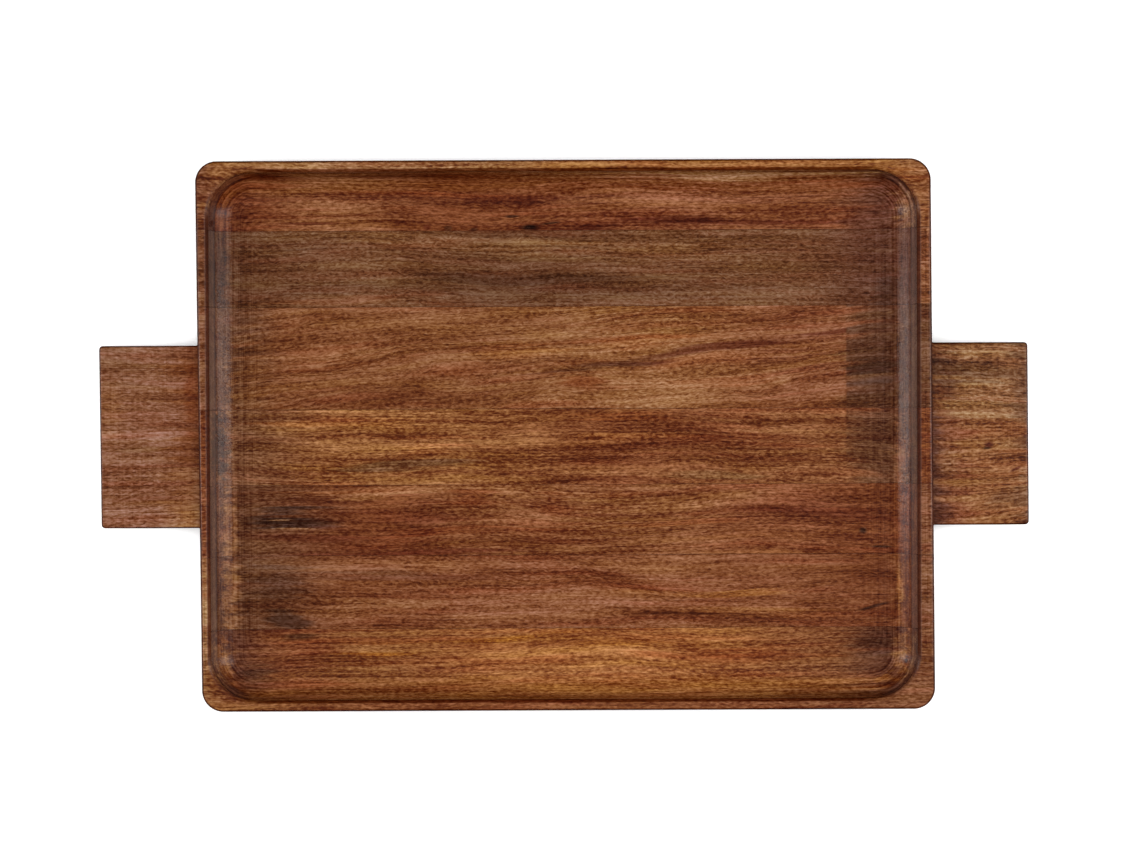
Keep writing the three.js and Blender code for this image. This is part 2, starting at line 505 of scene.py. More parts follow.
# Tones of the stained wood, as seen on screen
TONES = {
    "russet": "7b472c",
    "oxblood": "6e3a1f",
    "umber": "67402b",
    "walnut": "734a33",
    "chestnut": "825134",
    "mauve": "845744",
    "tan": "90603f",
    "fawn": "936649",
    "gold": "976039",
    "amber": "a3682c",
    "honey": "8a5937",
    "plum": "61382a",
    "rose": "845036",
    "shadow": "5a3626",
    "olive": "5d3f28",
    "rust": "763817",
    "wine": "561f10",
    "ink": "241310",
    "slate": "4a2f29",
    "rim_gold": "966339",
    "rim_tan": "9b7052",
    "rim_brown": "7a4d37",
    "beech": "c8a377",
    "beech_dark": "a9835a",
}

# What the figure does to a tone, from the darkest streak to the lightest (6e6e6e changes nothing)
FIGURE_PLAIN = ["33200f", "4d3d27", "6e6e6e", "879ac0", "9bbcff"]
FIGURE_RED = ["351e0d", "4f3a24", "6e6e6e", "8998b8", "9fbaf6"]
FIGURE_GREY = ["322213", "4b3f2b", "6e6e6e", "859bc2", "99beff"]
FIGURE_GOLD = ["351f0d", "4f3b24", "6e6e6e", "8b9bb4", "a2bcf0"]

# How the oil and stain tint every tone. It also makes up for the figure's middle, a grey of 0.156.
STAIN = (3.55, 3.04, 1.97, 1)

# From here to the stage, places and sizes are in mm
FLOOR_Z = FLOOR_TOP / MM
RIM_Z = SLAB_TOP / MM
MARK_DEPTH = 9
MARK_BORDER = (0.35, 1.15)
MARK_RAGGEDNESS = 2.6
SHARP_BORDER = 1.5


def patch(x, y, length, width, colour, strength=0.6, slope=0.0, z=FLOOR_Z, ragged=1.0, start=None):
    """A soft mark in the wood: its middle and half sizes in mm and how far it turns the colour.

    A mark with a start ends sharply there on its left side, like the print of a sanding block.
    """
    return {"place": (x, y, z), "size": (length, width, MARK_DEPTH), "colour": colour,
            "strength": strength, "slope": slope, "ragged": ragged, "start": start}


WOODS = {
    "stave_1_back": {
        "seed": 1, "figure": FIGURE_RED, "slope": 0.004, "bend": 5, "ripple": 0.5, "contrast": 1.05,
        "along": [(-215, "oxblood"), (-150, "chestnut"), (-75, "oxblood"), (10, "russet"),
                  (75, "rose"), (170, "russet"), (212, "plum")],
        "rim": [(-238, "rim_brown"), (-222, "tan"), (-150, "rim_tan"), (-40, "rim_tan"),
                (0, "rim_gold"), (215, "rim_gold"), (228, "tan"), (240, "chestnut")],
        # Painted shade, partly stain, darkens the upper back wall, most on the left
        "wall_stain_and_shade": (1.0, 0.0),
        "patches": [
            patch(-165, 140, 26, 1.6, "wine", 0.8),
            patch(-100, 158, 70, 3.0, "rust", 0.7),
            patch(-76, 138, 3.2, 2.6, "ink", 0.55, ragged=0.4),
            patch(-90, 138, 3.0, 2.6, "wine", 0.7, ragged=0.4),
            patch(-59, 137, 3.2, 1.4, "ink", 0.6, ragged=0.4),
            patch(-22, 138, 8.0, 2.6, "ink", 0.95, ragged=0.5),
            patch(-9, 140.5, 8, 1.0, "ink", 0.8, 0.12, ragged=0.5),
            patch(-34, 146, 5, 1.0, "ink", 0.8, ragged=0.5),
            patch(18, 137.5, 34, 3.4, "wine", 0.75, 0.07),
            patch(92, 141, 62, 3.2, "wine", 0.75),
            patch(204, 143, 18, 10, "plum", 0.9),
            # Painted light: lightens the cove's corner, which the lamps reach less
            patch(227, 148, 10, 18, "rim_tan", 0.6, z=20),
            patch(95, 172, 135, 4, "rim_tan", 0.75, z=22),
        ],
    },
    "stave_2": {
        "seed": 2, "figure": FIGURE_GREY, "slope": 0.002, "bend": 4, "ripple": 1.5, "contrast": 0.98,
        "along": [(-215, "umber"), (-120, "walnut"), (-40, "umber"), (70, "walnut"),
                  (150, "walnut"), (205, "plum")],
        "rim": [(-238, "rim_brown"), (-225, "rim_brown"), (225, "rose"), (240, "rose")],
        "patches": [
            patch(-178, 121, 32, 0.8, "shadow", 0.8, ragged=0.5),
            patch(-20, 98, 190, 8, "shadow", 0.45),
            patch(-30, 103, 100, 5, "ink", 0.28),
            patch(-150, 89, 60, 3, "russet", 0.6),
            patch(60, 122, 80, 6, "tan", 0.35),
            patch(-60, 127, 90, 4, "tan", 0.3),
            patch(208, 118, 16, 22, "plum", 0.85),
            patch(214, 96, 10, 14, "ink", 0.4),
            patch(-226, 110, 12, 40, "ink", 0.35, z=20),
        ],
    },
    "stave_3": {
        "seed": 3, "figure": FIGURE_PLAIN, "slope": -0.06, "bend": 7, "ripple": 1.3, "contrast": 0.95,
        "along": [(-212, "umber"), (-185, "chestnut"), (-60, "chestnut"), (70, "tan"),
                  (150, "rose"), (180, "rose"), (204, "umber")],
        "rim": [(-238, "rim_brown"), (-225, "rim_brown"), (225, "umber"), (240, "umber")],
        "patches": [
            patch(-33, 54, 32, 7, "gold", 0.65, 0.03),
            patch(57, 58, 34, 4, "gold", 0.7, 0.03),
            patch(-120, 62, 70, 5, "tan", 0.45),
            patch(104, 49.5, 112, 3.2, "wine", 0.8, 0.085),
            patch(30, 43, 34, 3.0, "shadow", 0.6, 0.08),
            patch(12, 33, 15, 4.5, "rust", 0.75),
            patch(-110, 31, 90, 7, "oxblood", 0.6),
            patch(130, 35, 55, 10, "tan", 0.55),
            patch(-60, 22, 150, 2.2, "tan", 0.6),
            patch(-208, 50, 14, 36, "honey", 0.5, z=13),
            # Painted highlight: lightens the gloss band low on the right cove
            patch(222, 50, 5, 34, "tan", 0.4, z=16),
            patch(224, 36, 64, 52, "shadow", 0.95, start=185.5),
            patch(206, 26, 22, 8, "ink", 0.45),
        ],
    },
    "stave_4": {
        "seed": 4, "figure": FIGURE_GOLD, "slope": 0.01, "bend": 5, "ripple": 1.0, "contrast": 1.1,
        "along": [(-212, "walnut"), (-150, "honey"), (-60, "honey"), (40, "russet"),
                  (150, "chestnut"), (180, "chestnut"), (204, "umber")],
        "rim": [(-238, "oxblood"), (-225, "oxblood"), (225, "oxblood"), (240, "oxblood")],
        "patches": [
            patch(-131, 10, 60, 4.5, "gold", 0.75),
            patch(-92, -10, 20, 4.5, "gold", 0.7),
            patch(43, -2, 48, 3.2, "gold", 0.7),
            patch(50, 11, 42, 3.2, "rust", 0.6),
            patch(-100, -20, 50, 4.2, "slate", 0.6),
            patch(-15, 4, 40, 3.0, "oxblood", 0.5),
            patch(103, -27, 30, 3.0, "olive", 0.6),
            patch(40, -26, 90, 3.0, "tan", 0.35),
            patch(224, 12, 64, 42, "shadow", 0.65, start=185.5),
            patch(-227, -8, 8, 28, "ink", 0.62, z=19),
            # Painted highlight: lightens the gloss band low on the right cove
            patch(222, -8, 5, 28, "rose", 0.35, z=16),
        ],
    },
    "stave_5": {
        "seed": 5, "figure": FIGURE_RED, "slope": -0.01, "bend": 5, "ripple": 0.8, "contrast": 1.1,
        "along": [(-212, "umber"), (-120, "oxblood"), (-40, "chestnut"), (60, "chestnut"),
                  (140, "russet"), (205, "oxblood")],
        "rim": [(-238, "rose"), (-225, "rose"), (225, "rim_brown"), (240, "rim_brown")],
        "patches": [
            patch(-60, -36, 130, 2.8, "tan", 0.75),
            patch(30, -44, 120, 4.0, "tan", 0.5),
            patch(-20, -70, 90, 3.6, "oxblood", 0.7),
            patch(-137, -41, 26, 2.5, "tan", 0.6),
            patch(24, -38, 30, 4, "tan", 0.5),
            patch(18, -57, 26, 5, "tan", 0.45),
            patch(-92, -58, 26, 9, "wine", 0.45),
            patch(-60, -42, 16, 8, "rust", 0.55),
            patch(-8, -44, 14, 9, "rust", 0.5),
            patch(-100, -76.5, 120, 2.4, "wine", 0.6),
            patch(-180, -54, 34, 7, "slate", 0.85),
            patch(-184, -53, 24, 6, "ink", 0.65),
            patch(-188, -55, 10, 0.5, "rim_tan", 0.6, ragged=0.3),
            patch(-178, -60, 16, 0.6, "rim_tan", 0.7, ragged=0.3),
            patch(-165, -65, 54, 3.5, "wine", 0.55),
            patch(-135, -52, 60, 3.5, "oxblood", 0.6),
            patch(-80, -62, 70, 4, "rust", 0.6),
            patch(166, -52, 54, 8, "wine", 0.65),
            patch(90, -58, 60, 3.0, "rust", 0.55),
            patch(197, -65, 3.6, 2.6, "ink", 0.85, ragged=0.4),
            patch(209, -75, 8, 0.9, "ink", 0.8, ragged=0.5),
            # Painted highlight: lightens the gloss band low on the left cove
            patch(-221, -56, 6, 30, "tan", 0.65, z=15),
        ],
    },
    "stave_6": {
        "seed": 6, "figure": FIGURE_PLAIN, "slope": 0.004, "bend": 5, "ripple": 0.9, "contrast": 1.0,
        "along": [(-212, "umber"), (-130, "russet"), (-50, "rose"), (40, "rose"),
                  (140, "russet"), (214, "oxblood")],
        "rim": [(-238, "tan"), (-225, "rim_tan"), (225, "rim_brown"), (240, "rim_brown")],
        "patches": [
            patch(-188, -100, 22, 14, "slate", 0.5),
            patch(-110, -94, 80, 4.0, "shadow", 0.5),
            patch(-128, -113, 40, 8, "tan", 0.4),
            patch(110, -118, 70, 4.5, "gold", 0.35),
            patch(108, -103, 44, 4.5, "amber", 0.42),
            patch(190, -95, 34, 6, "oxblood", 0.55),
            patch(20, -98, 70, 3.5, "rust", 0.45),
            patch(204, -114, 12, 1.0, "ink", 0.75, 0.2, ragged=0.5),
            # Painted highlight: these three lighten the gloss band low on both coves, the last as a bright
            # thin line
            patch(-220, -103, 7, 30, "tan", 0.75, z=15),
            patch(221, -103, 6, 30, "tan", 0.2, z=15),
            patch(221, -106, 2.6, 20, "rim_gold", 1.0, ragged=0.3, z=14),
            patch(-180, -123, 18, 7, "ink", 0.65, -0.4),
        ],
    },
    "stave_7_front": {
        "seed": 7, "figure": FIGURE_GOLD, "slope": -0.004, "bend": 5, "ripple": 0.6, "contrast": 1.0,
        "along": [(-222, "plum"), (-180, "russet"), (-130, "honey"), (-40, "gold"), (90, "gold"),
                  (170, "chestnut"), (214, "plum")],
        "rim": [(-238, "rim_tan"), (-220, "chestnut"), (-40, "russet"), (100, "rose"), (240, "rim_brown")],
        # Painted shade, partly stain, darkens the upper front wall on the right
        "wall_stain_and_shade": (0.0, 0.5),
        "patches": [
            patch(-190, -139, 18, 6, "chestnut", 0.4),
            patch(-176, -130.5, 15, 3, "ink", 0.6),
            patch(-204, -155, 16, 7, "ink", 0.5),
            patch(-124, -144, 30, 2.2, "amber", 0.9),
            patch(-45, -135, 32, 2.6, "amber", 0.8, 0.03),
            patch(-2, -131, 24, 2.2, "amber", 0.6),
            patch(32, -141, 30, 4, "amber", 0.55),
            patch(-120, -134, 70, 3.0, "rust", 0.65),
            patch(0, -140, 90, 2.6, "rust", 0.5),
            patch(120, -147, 70, 3.0, "rust", 0.6),
            patch(-40, -130, 110, 2.0, "tan", 0.45),
            patch(205, -140, 20, 12, "slate", 0.5),
            patch(211, -161, 9, 2.5, "rim_gold", 0.7, 0.7, z=15),
            # Painted light: these two lighten the cove's corners, which the lamps reach less
            patch(-227, -147, 10, 20, "tan", 0.6, z=20),
            patch(227, -147, 10, 20, "tan", 0.6, z=20),
            # Painted highlight: lightens the gloss band low on the right cove
            patch(221, -145, 6, 14, "tan", 0.4, z=15),
            patch(-110, -164, 130, 9, "russet", 0.5, z=18),
            patch(150, -165, 90, 8, "gold", 0.5, z=18),
        ],
    },
    "handle_left_back_strip": {
        "seed": 8, "figure": FIGURE_PLAIN, "slope": 0.02, "bend": 5, "ripple": 0.9, "contrast": 0.9,
        "along": [(-305, "mauve"), (-262, "mauve"), (-247, "russet"), (-241, "oxblood")],
        "patches": [
            patch(-243, 25, 6, 26, "rust", 0.6, z=20),
            patch(-282, -14, 14, 4, "walnut", 0.6, z=20),
            patch(-298, 12, 8, 20, "tan", 0.4, z=20),
            patch(-296, 42, 26, 16, "walnut", 0.6, z=20),
        ],
    },
    "handle_left_front_strip": {
        "seed": 9, "figure": FIGURE_PLAIN, "slope": -0.02, "bend": 4, "ripple": 0.9, "contrast": 1.0,
        "along": [(-305, "mauve"), (-268, "mauve"), (-250, "chestnut"), (-241, "chestnut")],
        "patches": [
            patch(-255, -52, 14, 5, "rim_tan", 0.5, z=20),
            patch(-275, -35, 20, 3, "oxblood", 0.5, z=20),
            patch(-246, -54, 9, 12, "rim_gold", 0.6, z=20),
        ],
    },
    "handle_right_back_strip": {
        "seed": 10, "figure": FIGURE_GREY, "slope": 0.03, "bend": 5, "ripple": 1.0, "contrast": 1.1,
        "along": [(241, "plum"), (250, "russet"), (266, "fawn"), (292, "fawn"), (307, "umber")],
        "patches": [
            patch(248, 50, 16, 10, "slate", 0.75, z=20),
            patch(272, 48, 32, 9, "umber", 0.8, z=20),
            patch(252, 38, 8, 9, "plum", 0.7, z=20),
            patch(302, 42, 9, 24, "walnut", 0.85, z=20),
        ],
    },
    "handle_right_front_strip": {
        "seed": 11, "figure": FIGURE_PLAIN, "slope": -0.03, "bend": 6, "ripple": 0.9, "contrast": 1.1,
        "along": [(241, "plum"), (252, "rose"), (268, "honey"), (292, "honey"), (307, "walnut")],
        "patches": [
            patch(279, -16, 4.5, 2.4, "wine", 0.95, ragged=0.4, z=20),
            patch(277.5, -18, 3, 1.0, "ink", 0.8, ragged=0.3, z=20),
            patch(291, -15.5, 9, 2.4, "rim_tan", 0.9, ragged=0.5, z=20),
            patch(297, -32, 5, 1.2, "wine", 0.9, 0.3, ragged=0.4, z=20),
            patch(301, -37, 3, 1.4, "ink", 0.7, ragged=0.4, z=20),
            patch(288, -52, 14, 6, "umber", 0.6, z=20),
            patch(253, 0, 8, 13, "russet", 0.7, z=20),
            patch(253, -28, 8, 9, "rim_tan", 0.5, z=20),
            patch(303, -40, 5, 9, "rim_tan", 0.6, z=20),
        ],
    },
}

DOWEL_WOOD = {
    "seed": 12, "figure": FIGURE_PLAIN, "slope": 0, "bend": 1, "ripple": 0.3, "contrast": 0.5,
    "along": [(-260, "beech"), (-230, "beech_dark"), (230, "beech"), (260, "beech_dark")],
    "patches": [],
}


SEED_SHIFT = (13.7, 7.1, 3.3)

# The size of each noise along X, across and upwards, its own part of the seed, detail and roughness
COARSE_LAYERS = {
    "bands": ((130, 8, 8), 0.0, 2, 0.5),
    "hue": ((80, 5, 6), 4.4, 2, 0.5),
    "streaks": ((110, 3.2, 3.6), 1.1, 1, 0.5),
    "lines": ((85, 1.0, 1.2), 7.7, 1, 0.5),
    "layers": ((90, 18, 0.9), 5.5, 2, 0.5),
}
FINE_LAYERS = {
    "fibres": ((3.5, 1.1, 1.2), 2.2, 2, 0.55),
    "pores": ((7, 0.5, 0.5), 3.3, 1, 0.5),
    "flecks": ((7, 0.6, 0.7), 6.6, 1, 0.5),
}
TOOL_MARKS = ((80, 80, 1.2), 20, 2, 0.6)

# The size and own part of the seed of the noises that bend the grain, sway it and ripple the fibres
BENDING_LAYERS = [((130, 42, 38), 0.3), ((34, 12, 12), 0.5), ((9, 4, 4), 0.7)]
BEND_REACH = 2.6
SWAY_REACH = 2
RIPPLE_REACH = 4
UPWARD_BEND = 0.6


def shifted(graph, x, y, z, scale, seed):
    """A point of the grain for a noise: each axis over its own length in mm, moved by a seed."""
    parts = [graph.math("MULTIPLY_ADD", axis, 1 / size, seed * shift)
             for axis, size, shift in zip((x, y, z), scale, SEED_SHIFT)]
    return graph.join(*parts)


def swing(graph, value, reach):
    """A value from 0 to 1 as a swing to both sides of 0, reach wide in all."""
    return graph.math("MULTIPLY_ADD", value, reach, -reach / 2)


def grain_axes(graph, x, y, z, wood):
    """Y and Z measured across the slowly bending grain, and the same across the rippled fibres."""
    slow, wave, quick = [graph.noise(shifted(graph, x, y, z, size, wood["seed"] + own_seed), 1)
                         for size, own_seed in BENDING_LAYERS]
    bend = swing(graph, slow, BEND_REACH * wood["bend"])
    bend = graph.math("ADD", bend, swing(graph, wave, SWAY_REACH * wood["ripple"]))
    ripple = swing(graph, quick, RIPPLE_REACH * wood["ripple"])
    lean = graph.math("MULTIPLY_ADD", x, wood["slope"], bend)
    across = graph.math("ADD", y, lean)
    upward = graph.math("MULTIPLY_ADD", bend, UPWARD_BEND, z)
    return across, upward, graph.math("ADD", across, ripple), graph.math("ADD", upward, ripple)


# The well's wall for the marks and the masks: its middle, and how far from there its cove runs
WELL_MIDDLE_X = -0.5
COVE_MIDDLE = 224
COVE_REACH = 12
CORNER_START_Y = (130, 150)


def tool_path(graph, x, y, z):
    """A length in mm that is constant along the marks the router and the sander leave.

    The marks run round the well's wall at one height, and along Y on the floor and the handles.
    """
    depth = (SLAB_TOP - FLOOR_TOP) / MM
    sine = graph.math("MULTIPLY_ADD", z, -1 / depth, RIM_Z / depth)
    cosine = graph.math("SQRT", graph.math("SUBTRACT", 1.0, graph.math("MULTIPLY", sine, sine)))
    inset = graph.math("MULTIPLY_ADD", cosine, -COVE_WIDTH / MM, COVE_WIDTH / MM)
    from_wall = graph.distance(graph.distance(x, WELL_MIDDLE_X), COVE_MIDDLE)
    beyond = graph.math("MAXIMUM", graph.math("SUBTRACT", from_wall, COVE_REACH), 0.0)
    straight = graph.step(graph.math("ABSOLUTE", y), *CORNER_START_Y, 1.0, 0.0)
    return graph.math("MULTIPLY_ADD", beyond, straight, inset)


def grain_layers(graph, x, y, z, axes, seed):
    """Noises from broad bands to single fibres, all long in X, and the marks of the tools."""
    across, upward, fine_across, fine_upward = axes
    layers = {}
    for name, (size, own_seed, detail, roughness) in COARSE_LAYERS.items():
        point = shifted(graph, x, across, upward, size, seed + own_seed)
        layers[name] = graph.noise(point, detail, roughness)
    for name, (size, own_seed, detail, roughness) in FINE_LAYERS.items():
        point = shifted(graph, x, fine_across, fine_upward, size, seed + own_seed)
        layers[name] = graph.noise(point, detail, roughness)
    size, own_seed, detail, roughness = TOOL_MARKS
    point = shifted(graph, x, y, tool_path(graph, x, y, z), size, own_seed)
    layers["tooling"] = graph.noise(point, detail, roughness)
    return layers


RAGGED_BORDER = 60
END_MARGIN = 6


def along_colour(graph, x, wander, stops):
    """A colour that goes from tone to tone along X, the borders made ragged by the grain."""
    places = [place for place, _ in stops]
    low, high = min(places) - END_MARGIN, max(places) + END_MARGIN
    ragged = graph.math("ADD", x, swing(graph, wander, RAGGED_BORDER))
    share = graph.math("DIVIDE", graph.math("SUBTRACT", ragged, low), high - low)
    return graph.ramp(share, [((place - low) / (high - low), TONES[name]) for place, name in stops])


def patched(graph, colour, x, across, z, streaks, marks):
    """The colour with every mark blended in."""
    for mark in marks:
        cx, cy, cz = mark["place"]
        length, width, height = mark["size"]
        u = graph.math("MULTIPLY_ADD", x, 1 / length, -cx / length)
        leaning = graph.math("MULTIPLY_ADD", x, -mark["slope"], mark["slope"] * cx - cy)
        v = graph.math("MULTIPLY", graph.math("ADD", across, leaning), 1 / width)
        w = graph.math("MULTIPLY_ADD", z, 1 / height, -cz / height)
        distance = graph.vector("LENGTH", graph.join(u, v, w))
        rough = swing(graph, streaks, -MARK_RAGGEDNESS * mark["ragged"])
        share = graph.step(graph.math("ADD", distance, rough), *MARK_BORDER, mark["strength"], 0.0)
        if mark["start"] is not None:
            cut = graph.step(x, mark["start"], mark["start"] + SHARP_BORDER)
            share = graph.math("MULTIPLY", share, cut)
        colour = graph.mix(share, colour, tone(TONES[mark["colour"]]))
    return colour


# The figure's middle, and how much each noise moves it from there
FIGURE_MIDDLE = 0.5
COARSE_WEIGHTS = {"bands": 0.7, "streaks": 0.34, "lines": 0.66, "layers": 0.5}
FIBRE_WEIGHT = 1.28
TOOL_WEIGHT = 0.8
FLECK_WEIGHT = 0.12
PORE_WEIGHT = 0.08
FLECKS = (0.54, 0.74)
PORES = (0.58, 0.78)
END_CALM = 0.45  # how much weaker the fibres are on end grain
HUE_TINTS = [(0.3, "ffece2"), (0.48, "ffffff"), (0.7, "feffe2")]


def figured(graph, colour, layers, masks, wood):
    """The colour with the figure's light and dark streaks, tool marks and pores on it."""
    contrast = wood["contrast"]
    total = FIGURE_MIDDLE
    for name, weight in COARSE_WEIGHTS.items():
        total = graph.math("ADD", swing(graph, layers[name], weight * contrast), total)
    fibres = swing(graph, layers["fibres"], FIBRE_WEIGHT * contrast)
    calm = graph.math("MULTIPLY_ADD", masks["end"], -END_CALM, 1.0)
    total = graph.math("MULTIPLY_ADD", fibres, calm, total)
    tooled = swing(graph, layers["tooling"], TOOL_WEIGHT)
    total = graph.math("MULTIPLY_ADD", tooled, masks["cross"], total)
    flecks = graph.step(layers["flecks"], *FLECKS, 0.0, FLECK_WEIGHT * contrast)
    pores = graph.step(layers["pores"], *PORES, 0.0, -PORE_WEIGHT * contrast)
    total = graph.math("ADD", pores, graph.math("ADD", flecks, total))
    last = len(wood["figure"]) - 1
    stops = [(index / last, tint) for index, tint in enumerate(wood["figure"])]
    figure = graph.ramp(total, stops, "LINEAR")
    colour = graph.mix(1.0, colour, STAIN, "MULTIPLY")
    colour = graph.mix(1.0, colour, figure, "MULTIPLY")
    return graph.mix(1.0, colour, graph.ramp(layers["hue"], HUE_TINTS, "LINEAR"), "MULTIPLY")


# The soft borders of the zones: from where to where each mask rises or falls. WELL_X follows the
# tray's out-of-square ends, and the other X borders are measured from the well's middle.
WELL_Y = (176.5, 178.0)
WELL_X = (235.0, 236.5)
WELL_X_PLUS_Y = (398.0, 404.0)
COVE_FOOT_X = (203.0, 209.0)
COVE_RISE_X = (213.0, 219.0)
CORNER_Y = (140.0, 160.0)
CORNER_X = (194.0, 210.0)
MARKED_X = (188.0, 216.0)
MARKED_Y = (171.5, 174.0)
HANDLE_X = (236.0, 244.0)
WALL_Z = (RIM_Z - 13, RIM_Z - 8)
WALL_TOP_Z = (RIM_Z - 4.5, RIM_Z - 2)
LIP_Z = (RIM_Z - 3.5, RIM_Z - 1.8)
RIM_TOP_Z = (RIM_Z - 3.5, RIM_Z - 1.5)
TILT = (0.88, 0.99)
END_GRAIN = (0.10, 0.42)
CORNER_CALM = 0.9  # how much weaker the wall's tints are in the corners
HANDLE_MARKS = 0.3  # how strong the tool marks are on the handles


def product(graph, first, *others):
    for other in others:
        first = graph.math("MULTIPLY", first, other)
    return first


def zones(graph, x, y, z, normal):
    """Masks from 0 to 1 for parts of the surface, such as the rim's top and end grain."""
    nx, _, nz = graph.split(normal)
    square_x = graph.math("ABSOLUTE", graph.math("MULTIPLY_ADD", y, END_SKEW, x))
    square_y = graph.math("ABSOLUTE", y)
    from_middle = graph.distance(x, WELL_MIDDLE_X)
    diagonal = graph.math("ADD", square_x, square_y)
    inside = product(graph, graph.step(square_y, *WELL_Y, 1.0, 0.0), graph.step(square_x, *WELL_X, 1.0, 0.0),
                     graph.step(diagonal, *WELL_X_PLUS_Y, 1.0, 0.0))
    upper = product(graph, graph.step(z, *WALL_Z), graph.step(z, *WALL_TOP_Z, 1.0, 0.0))
    foot = product(graph, graph.step(from_middle, *COVE_FOOT_X),
                   graph.step(from_middle, *COVE_RISE_X, 1.0, 0.0))
    corner = product(graph, graph.step(square_y, *CORNER_Y), graph.step(from_middle, *CORNER_X))
    off_corner = graph.math("MULTIPLY_ADD", corner, -CORNER_CALM, 1.0)
    marked = graph.math("ADD", graph.step(from_middle, *MARKED_X), corner)
    off_handle = graph.step(from_middle, *HANDLE_X, 1.0, HANDLE_MARKS)
    tilted = graph.step(nz, *TILT, 1.0, 0.0)
    return {
        "rim": graph.step(z, *RIM_TOP_Z),
        "wall": product(graph, inside, upper, off_corner),
        "foot": product(graph, inside, foot),
        "end": graph.step(graph.math("ABSOLUTE", nx), *END_GRAIN),
        "edge": product(graph, graph.math("SUBTRACT", 1.0, inside), tilted),
        "corner": corner,
        "cross": product(graph, marked, graph.step(square_y, *MARKED_Y, 1.0, 0.0), off_handle),
        "lip": product(graph, inside, graph.step(z, *LIP_Z), tilted, off_corner),
    }


# What end grain does to the colour at each height in mm: it drinks more stain, least at the rim
END_TINTS = [(11, "f0e6de"), (13.5, "fff8f4"), (16.3, "fff8f2"), (17.5, "fff0e4"), (19.4, "faeae0"),
             (20.5, "c4b0a6"), (21.8, "fcf8f8"), (26, "f8f4f4"), (28.5, "ffffff")]
END_WANDER = 2.4


def end_tint(graph, z, wander):
    height = swing(graph, wander, END_WANDER / RIM_Z)
    height = graph.math("MULTIPLY_ADD", z, 1 / RIM_Z, height)
    return graph.ramp(height, [(level / RIM_Z, tint) for level, tint in END_TINTS])


# Tints that darken a zone, and the grey of a painted sheen on the upper wall's end grain
# Painted shade: the dark line on the steep wall just under the rim's inner edge
LIP_TINT = "a07a68"
FOOT_TINT = "f2ece8"
# Painted shade, partly stain gathered there, on the upper back and front walls
STAIN_AND_SHADE_TINT = "9a6a52"
# Painted shade, with the darker finish of the eased edges, on the outside's sides and rounded edges
EDGE_TINT = "987868"
GLUE_TINT = "8a7264"
# A painted sheen: this grey stands in for the gloss seen on the upper wall's end grain
PAINTED_SHEEN_TONE = "7c6a62"

# Where the painted grey sheen, the painted wall shade with its stain, and the glue lines start and end or
# fade, and how strong they are
SHEEN_Z = (19.5, 21.5)
SHEEN_SHARE = 0.22
CORNER_SHEEN_LOSS = 0.17
STAIN_AND_SHADE_X = (-125, -35)
STAIN_AND_SHADE_FADE = (0.35, 0.6)
STAIN_AND_SHADE_STRENGTH = (1.0, 0.4)
GLUE_LINE = (0.05, 0.5)
GLUE_FADE = (0.4, 0.6)
GLUE_STRENGTH = (0.15, 0.65)


def glue_lines(node):
    """Y in mm of the glue lines on either side of a stave. A handle strip shows none."""
    if node not in STAVES:
        return []
    low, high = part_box(node)
    lines = {STAVES[0]: [low.y], STAVES[-1]: [high.y]}.get(node, [low.y, high.y])
    return [line / MM for line in lines]


def with_glue_lines(graph, colour, y, lines, wander):
    """The colour with a thin dark line at each glue joint, which fades in and out."""
    strength = graph.step(wander, *GLUE_FADE, *GLUE_STRENGTH)
    for line in lines:
        near = graph.step(graph.distance(y, line), *GLUE_LINE, strength, 0.0)
        colour = darkened(graph, colour, near, GLUE_TINT)
    return colour


def darkened(graph, colour, share, tint):
    """The colour multiplied by a tint, as far as the share says."""
    return graph.mix(share, colour, graph.mix(1.0, colour, tone(tint), "MULTIPLY"))


def with_end_grain(graph, colour, z, layers, masks):
    """The colour with its end grain: stained by height, and a painted grey sheen on the upper wall."""
    end = graph.mix(1.0, colour, end_tint(graph, z, layers["streaks"]), "MULTIPLY")
    # Painted sheen: grey mixed into the upper wall's end grain, less in the corners
    sheen_change = graph.math("MULTIPLY_ADD", masks["corner"], -CORNER_SHEEN_LOSS, SHEEN_SHARE)
    end = graph.mix(graph.step(z, *SHEEN_Z, 0.0, sheen_change), end, tone(PAINTED_SHEEN_TONE))
    return graph.mix(masks["end"], colour, end)


